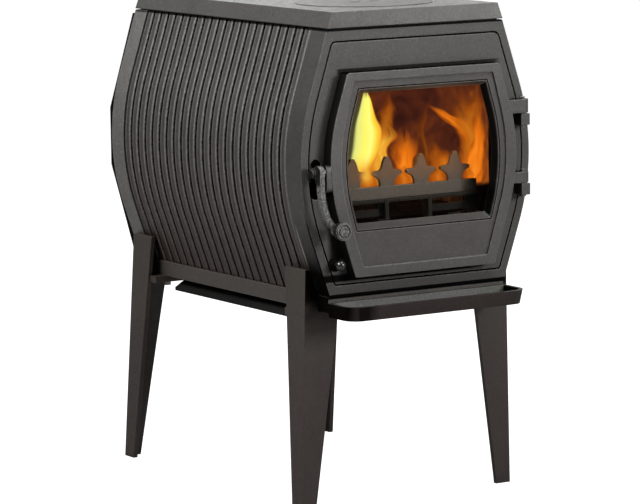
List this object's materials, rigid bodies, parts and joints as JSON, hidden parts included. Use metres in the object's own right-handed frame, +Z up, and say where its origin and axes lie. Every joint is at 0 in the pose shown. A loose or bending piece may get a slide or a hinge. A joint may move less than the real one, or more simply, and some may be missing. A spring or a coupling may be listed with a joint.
{
  "type": "wood stove",
  "caption": "Cast-iron room heater with ribbed side plates, glazed front door, ash shelf, loose hot plate, rear flue spigot, heat shields and tapered corner legs.",
  "frame": {"origin": "on the floor, under the middle of the part's outer box", "axes": "+X to the stove's right as seen from the front, -Y towards the viewer who stands at the door, +Z up"},
  "size_m": [0.3996, 0.68, 0.731],
  "materials": {
    "cast_iron": "satin black stove paint",
    "cast_iron_dark": "satin black stove paint",
    "sheet": "matt black",
    "steel": "dull, heat-tinted",
    "firebrick": "rough, sooty",
    "rope": "woven, dark grey",
    "stove_glass": "clear, slightly smoked"
  },
  "bodies": {
    "stove": {"front_plate": "cast_iron", "left_side_plate": "cast_iron", "right_side_plate": "cast_iron", "back_plate": "cast_iron", "base_plate": "cast_iron_dark", "top_plate": "cast_iron", "top_gasket": "rope", "top_studs": "steel", "top_nuts": "steel", "tie_rods": "steel", "tie_rod_nuts": "steel", "flue_collar": "cast_iron_dark", "flue_screws": "steel", "rear_heat_shield": "sheet", "rear_shield_spacers": "steel", "rear_shield_screws": "steel", "bottom_heat_shield": "sheet", "bottom_shield_spacers": "steel", "bottom_shield_screws": "steel", "front_left_leg": "cast_iron_dark", "front_right_leg": "cast_iron_dark", "rear_left_leg": "cast_iron_dark", "rear_right_leg": "cast_iron_dark", "leg_bolts": "steel", "ash_shelf": "cast_iron_dark", "shelf_bolts": "steel", "fire_bed": "cast_iron_dark", "grate": "cast_iron_dark", "pan_rails": "sheet", "ash_pan": "sheet", "ash_pan_handle": "steel", "left_firebricks": "firebrick", "right_firebricks": "firebrick", "rear_firebrick": "firebrick", "baffle_plate": "firebrick", "log_retainer": "cast_iron", "air_frame": "cast_iron_dark", "air_frame_screws": "steel", "hinge_pins": "steel", "latch_keeper": "steel", "air_escutcheon": "cast_iron_dark"},
    "door": {"door_frame": "cast_iron", "door_gasket": "rope", "door_glass": "stove_glass", "glass_gasket": "rope", "glass_clips": "steel", "glass_clip_screws": "steel", "handle_pin": "steel", "handle_washer": "steel"},
    "handle": {"handle_lever": "cast_iron_dark", "handle_knob": "cast_iron_dark", "knob_screw": "steel"},
    "air_control": {"air_rod": "steel", "air_knob": "cast_iron_dark", "air_damper": "steel"},
    "cooking_plate": {"hot_plate": "cast_iron"}
  },
  "joints": [
    {"name": "door_hinge", "type": "hinge", "parent": "stove", "child": "door", "pos_m": [0.1795, -0.292, 0.52], "axis": [0, 0, 1], "range_deg": [0, 110]},
    {"name": "handle_turn", "type": "hinge", "parent": "door", "child": "handle", "pos_m": [-0.182, -0.293, 0.501], "axis": [-1, 0, 0], "range_deg": [-6, 80]},
    {"name": "air_slide", "type": "slide", "parent": "stove", "child": "air_control", "axis": [0, -1, 0], "range_m": [0, 0.02]},
    {"name": "hotplate_lift", "type": "slide", "parent": "stove", "child": "cooking_plate", "axis": [0, 0, 1], "range_m": [0, 0.08]}
  ]
}
